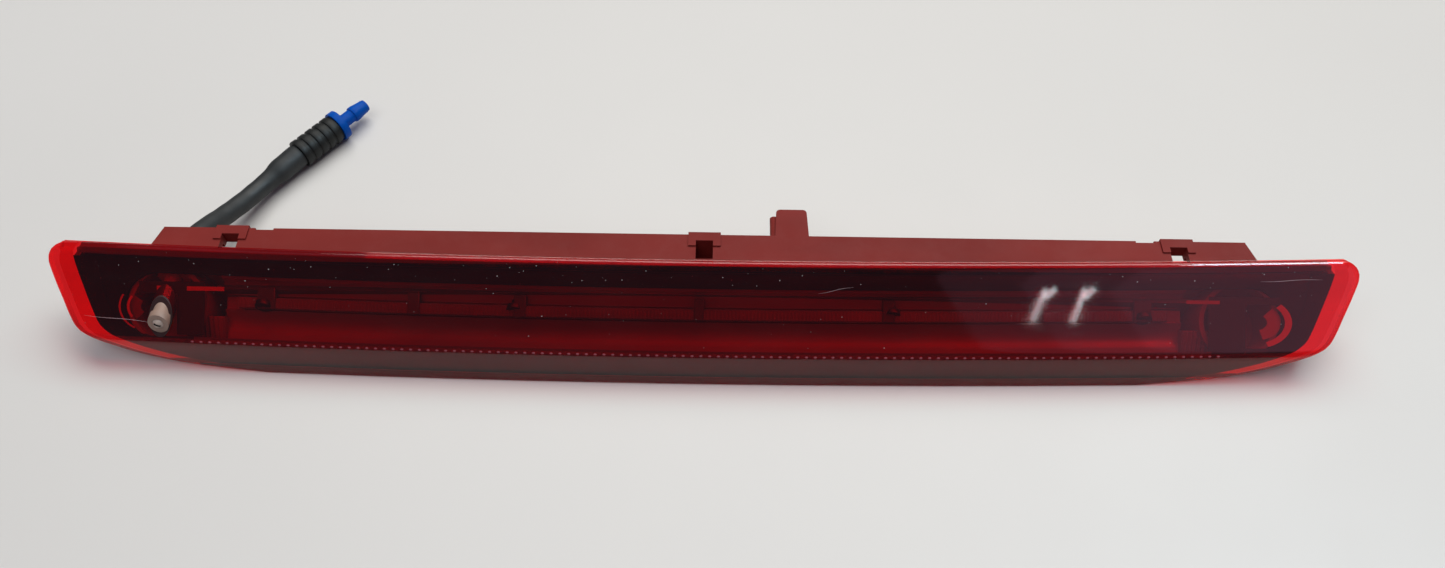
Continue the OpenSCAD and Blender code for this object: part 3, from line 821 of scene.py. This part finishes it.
def make_details():
    """Posts in the window and a ribbed block beside each end of it."""
    dark = moulded("post_plastic", (0.05, 0.01, 0.01), 0.4, specular=0.3)
    streaky = moulded("rib_plastic", (0.17, 0.06, 0.06), 0.3, spread=0.3)
    for i, (x, half) in enumerate(POSTS):
        fall = bow(x) * math.cos(SLOPE)
        add_block("post_%d" % i, (x - half, x + half), (14.2 - fall, 21.6 - fall), (5.2, 8.4), dark)
    for side, hand in ((-1, "left"), (1, "right")):
        def span(a, b):
            return (a, b) if side > 0 else (-b, -a)
        add_block("rib_block_" + hand, span(162.4, 172.6), (22.6, 32.0), (6.0, 9.0), streaky,
                  ribs=6)


# Middle (x, drop) of the arcs painted lit, and their half width and height on each side.
TOWER_ARC_AT = (186.0, 19.4)
TOWER_ARC_SIZE = {-1: (10.8, 8.6), 1: (12.2, 8.6)}
# Side, inner and outer share of the size, first and last angle, depth, painted brightness.
TOWER_ARCS = [(1, 0.8, 1.0, -70, 47, 2.61, 0.42), (1, 0.3, 0.7, -74, 52, 3.9, 0.26),
              (-1, 0.94, 1.0, -60, 28, 2.61, 0.4), (-1, 0.66, 0.74, -36, 34, 2.61, 0.45),
              (-1, 0.3, 0.66, -50, 40, 3.9, 0.12)]


def make_tower_arcs():
    """Moulded arcs inside the two round towers, their light painted in as each arc's brightness."""
    for i, (side, r0, r1, a0, a1, depth, tone) in enumerate(TOWER_ARCS):
        x, v = TOWER_ARC_AT
        wide, high = TOWER_ARC_SIZE[side]
        # Painted light: each arc's colour is red scaled by its painted brightness.
        colour = moulded("tower_arc_%d" % i, (tone, tone * 0.42, tone * 0.42), 0.4, spread=0.35)
        grids = []
        for k in (depth, depth + 0.05):
            grid = []
            for r in steps(r0, r1, 4):
                angles = [math.radians(a) for a in steps(a0, a1, 30)]
                grid.append([on_lens(side * (x + 0.5 * (k - 2.6) + wide * r * math.cos(a)),
                                     v - high * r * math.sin(a), k) for a in angles])
            grids.append(grid)
        shell("tower_arc_%d" % i, grids[0], grids[1], colour)


# Name, x from and to, drop from and to, depth and whether the patch is painted light or painted
# shade.
PATCHES = [("shade_left_top", -190, -167.6, 10.9, 15.0, 2.64, False),
           ("shade_left_side", -176.9, -167.6, 15.0, 28.8, 2.64, False),
           ("shade_left_low", -193, -171.2, 29.3, 30.6, 2.64, False),
           ("shade_right_side", 169.8, 182.4, 10.9, 30.6, 2.64, False),
           ("shade_right_top", 182.4, 194, 10.9, 13.4, 2.64, False),
           ("shade_right_low", 182.4, 191, 28.1, 30.3, 2.64, False),
           ("slot_left", -173.7, -161.0, 12.5, 13.9, 2.56, True),
           ("slot_short", -183.9, -180.5, 12.4, 13.8, 2.56, True),
           ("slot_right", 162.2, 173.5, 12.2, 13.4, 2.56, True)]


def make_patches():
    """Painted shade in the dark recesses and painted light in the lit slots beside the towers, as
    thin patches under the lens.
    """
    # Painted shade and painted light: flat patches coloured dark for recess shade and bright for
    # light through the slots.
    shade_tone = moulded("painted_recess_shade", (0.022, 0.004, 0.005), 0.5, specular=0.2)
    lit = moulded("painted_slot_light", (0.34, 0.13, 0.13), 0.4, spread=0.4)
    for name, x0, x1, v0, v1, depth, bright in PATCHES:
        grids = [[[on_lens(x, v, k) for x in steps(x0, x1, 8)] for v in steps(v0, v1, 8)]
                 for k in (depth, depth + 0.03)]
        patch = shell(name, grids[0], grids[1], lit if bright else shade_tone)


def make_spray_slot():
    """Dark oval painted as the shade inside the spray slot's opening, on the jet's ball."""
    # Painted shade: a dark solid oval stands in for the shade inside the slot.
    dark = moulded("spray_slot_painted_shade", (0.01, 0.006, 0.006), 0.6, specular=0.1)
    tilt, turn = math.radians(20), math.radians(27)
    half_long, half_high, sides = 1.1, 0.38, 24
    axis = Vector((0, -math.cos(tilt), math.sin(tilt)))
    wide = Vector((1, 0, 0))
    high = wide.cross(axis) * -1
    across = wide * math.cos(turn) - high * math.sin(turn)
    up = wide * math.sin(turn) + high * math.cos(turn)
    centre = straight(JET_X, 11.14, 16.96)
    points = []
    for station in (1.42, 1.85):
        points += [centre + (axis * station + across * half_long * math.cos(a)
                             + up * half_high * math.sin(a)) * MM
                   for a in (2 * math.pi * j / sides for j in range(sides))]
    faces = grid_faces(2, sides, ring=True)
    faces += [tuple(range(sides)), tuple(range(sides, 2 * sides))]
    make_object("spray_slot", points, faces, dark, "ball")


make_carrier()
make_optic()
make_details()
make_tower_arcs()
make_patches()
make_spray_slot()


# ---------------------------------------------------------------- marks on the lens
def make_crease_dots():
    """Row of small prisms moulded along the crease, their pale colour painted glint."""
    # Painted highlight: the prisms' pale pink stands in for the glints of light they catch.
    material = moulded("prism_painted_glints", (0.26, 0.07, 0.09), 0.4, specular=0.15)
    points, faces = [], []
    count, first, pitch, sides = 118, -170.5, 2.93, 8
    for i in range(count):
        x = first + i * pitch
        v = along_bow(x, 33.2)
        start = len(points)
        for r, inset in ((0.6, 0.36), (0.42, 0.26)):
            points += [on_lens(x + r * math.cos(a), v + 0.8 * r * math.sin(a), inset)
                       for a in (2 * math.pi * j / sides for j in range(sides))]
        points += [on_lens(x, v, 0.22), on_lens(x, v, 0.6)]
        for j in range(sides):
            k = (j + 1) % sides
            faces.append((start + j, start + k, start + sides + k, start + sides + j))
            faces.append((start + sides + j, start + sides + k, start + 2 * sides))
            faces.append((start + k, start + j, start + 2 * sides + 1))
    dots = make_object("crease_prisms", points, faces, material, smooth=60)


def make_dust():
    """Dust on the lens: low grains, most of them on the upper band."""
    draw = random.Random(7)
    material = rubber("dust", (0.55, 0.5, 0.5), 0.8)
    points, faces = [], []
    for i in range(70):
        x = draw.uniform(-205, 205)
        v = draw.uniform(3.5, 9.0) if i % 3 else draw.uniform(9, 30)
        r = draw.uniform(0.06, 0.16)
        start = len(points)
        spin = draw.uniform(0, 6)
        for j in range(5):
            a = spin + 2 * math.pi * j / 5
            points.append(on_lens(x + r * math.cos(a), along_bow(x, v) + r * math.sin(a), -0.01))
        points += [on_lens(x, along_bow(x, v), -0.07), on_lens(x, along_bow(x, v), 0.05)]
        for j in range(5):
            k = (j + 1) % 5
            faces.append((start + j, start + k, start + 5))
            faces.append((start + k, start + j, start + 6))
    dust = make_object("lens_dust", points, faces, material)


def make_scratch(name, ends, width):
    """Hairline scratch as a low ridge from one (x, v) to another."""
    material = rubber("scratch", (0.4, 0.25, 0.27), 0.7)
    (x0, v0), (x1, v1) = ends
    top, low = [], []
    for s in (-1, 0, 1):
        top.append([])
        low.append([])
        for t in steps(0, 1, 30):
            x = x0 + (x1 - x0) * t
            v = v0 + (v1 - v0) * t + 0.15 * math.sin(7 * t)
            w = width * math.sin(math.pi * (0.05 + 0.9 * t))
            top[-1].append(on_lens(x, v + s * w, -0.03 if s == 0 else -0.01))
            low[-1].append(on_lens(x, v + s * w, 0.06))
    scratch = shell(name, top, low, material)


make_crease_dots()
make_dust()
make_scratch("scratch_left", ((-207, 22.6), (-184.5, 24.6)), 0.06)
make_scratch("scratch_middle", ((38, 11.8), (50, 9.4)), 0.05)
make_scratch("scratch_right", ((186, 5.6), (207, 4.6)), 0.07)


# ---------------------------------------------------------------- CAD pieces
# Width of the rounding on the CAD pieces' edges.
SOFT_EDGES = {"housing": 0.25, "bezel": 0.2, "reflector": 0.25, "inner_optic": 0.2,
              "circuit_board": 0.12, "leds": 0.12, "resistors": 0.06, "driver_chips": 0.1,
              "terminal_pins": 0.1, "board_screws": 0.2, "nozzle_body": 0.15, "jet_ball": 0.05,
              "nozzle_nut": 0.2, "valve_body": 0.2, "valve_cap": 0.25, "valve_plunger": 0.15}


def dress_cad_nodes():
    """Gives every CAD piece its material and its rounded edges."""
    for name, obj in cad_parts.items():
        if name in MATERIALS:
            if not obj.material_slots:
                obj.data.materials.append(MATERIALS[name])
            for slot in obj.material_slots:
                slot.material = MATERIALS[name]
        if name in SOFT_EDGES:
            soften(obj, SOFT_EDGES[name])


dress_cad_nodes()


# ---------------------------------------------------------------- floor and light
def make_floor():
    """Plain pale bench top."""
    n = Nodes("bench")
    tone = n.ramp(n.noise(1.3, 3, 0.5), [(0.35, (0.66, 0.655, 0.63)), (0.65, (0.72, 0.715, 0.69))])
    grit = n.specks(14, 0.006)
    tone = n.mix(n.math("MULTIPLY", grit, 0.5), tone, (0.25, 0.24, 0.23))
    gloss = n.ramp(n.noise(6, 4), [(0.3, 0.42), (0.7, 0.55)])
    material = n.surface(n.principled(tone, gloss, n.bump(n.noise(420, 3), 0.15, 0.00005)))
    mesh = bpy.data.meshes.new("floor")
    size = 6
    mesh.from_pydata([(-size, -size, 0), (size, -size, 0), (size, size, 0), (-size, size, 0)],
                     [], [(0, 1, 2, 3)])
    mesh.materials.append(material)
    floor = bpy.data.objects.new("floor", mesh)
    bpy.context.scene.collection.objects.link(floor)


def area_light(name, place_at, aim, size, power, colour=(1, 1, 1), diffuse=True, glossy=True):
    """Rectangular light that points at aim."""
    data = bpy.data.lights.new(name, "AREA")
    data.shape = "RECTANGLE"
    data.size, data.size_y = size
    data.energy = power
    data.color = colour
    light = bpy.data.objects.new(name, data)
    light.location = place_at
    light.rotation_mode = "QUATERNION"
    light.rotation_quaternion = (Vector(aim) - Vector(place_at)).to_track_quat("-Z", "Y")
    light.visible_diffuse = diffuse
    light.visible_glossy = glossy
    bpy.context.scene.collection.objects.link(light)
    return light


# Position along x, lift, length and turn of the bright tubes that the right end mirrors.
TUBES = ((0.47, 0, 0.05, -0.8), (0.495, 0.03, 0.02, -1.3),
         (0.53, 0, 0.05, -0.8), (0.555, 0.03, 0.02, -1.3))


def make_light():
    """Soft ceiling, and softboxes and tubes that only the glossy lens shows."""
    world = bpy.data.worlds.new("studio")
    world.use_nodes = True
    sky = world.node_tree.nodes["Background"]
    sky.inputs["Color"].default_value = (0.8, 0.75, 1.0, 1)
    sky.inputs["Strength"].default_value = 0.12
    bpy.context.scene.world = world
    area_light("ceiling", (0.35, 1.0, 1.7), (0, 0, 0), (2.4, 1.4), 40, (1.0, 0.98, 0.93))
    area_light("fill", (-0.5, -0.6, 1.7), (0, 0, 0), (1.8, 1.2), 12, (0.93, 0.96, 1.0),
               glossy=False)
    for i, size in enumerate((1.0, 0.75, 0.5)):
        area_light("sheen_%d" % i, (0.99, -0.78 + 0.002 * i, 1.08), (0.2, -0.01, 0.02),
                   (size, 0.85 * size), 0.42 * size * size, (0.8, 0.7, 1.0), diffuse=False)
    area_light("overhead", (0.1, 0.05, 1.4), (0.1, 0.05, 0), (2.2, 0.6), 1.1, (0.5, 0.7, 1.0),
               diffuse=False)
    area_light("window", (0.89, 0.05, 1.25), (0.89, 0.05, 0), (0.34, 0.7), 16, (0.6, 0.85, 1.0),
               diffuse=False)
    for i, (x, lift, length, turn) in enumerate(TUBES):
        tube = area_light("tube_%d" % i, (x, -0.67, 0.94 + lift), (0.11, -0.01, 0.02),
                          (0.008, length), 0.24 * length, (0.6, 0.95, 1.0), diffuse=False)
        tube.rotation_quaternion = tube.rotation_quaternion @ Quaternion((0, 0, 1), turn)


make_floor()
make_light()
bpy.context.scene.view_settings.view_transform = "Standard"
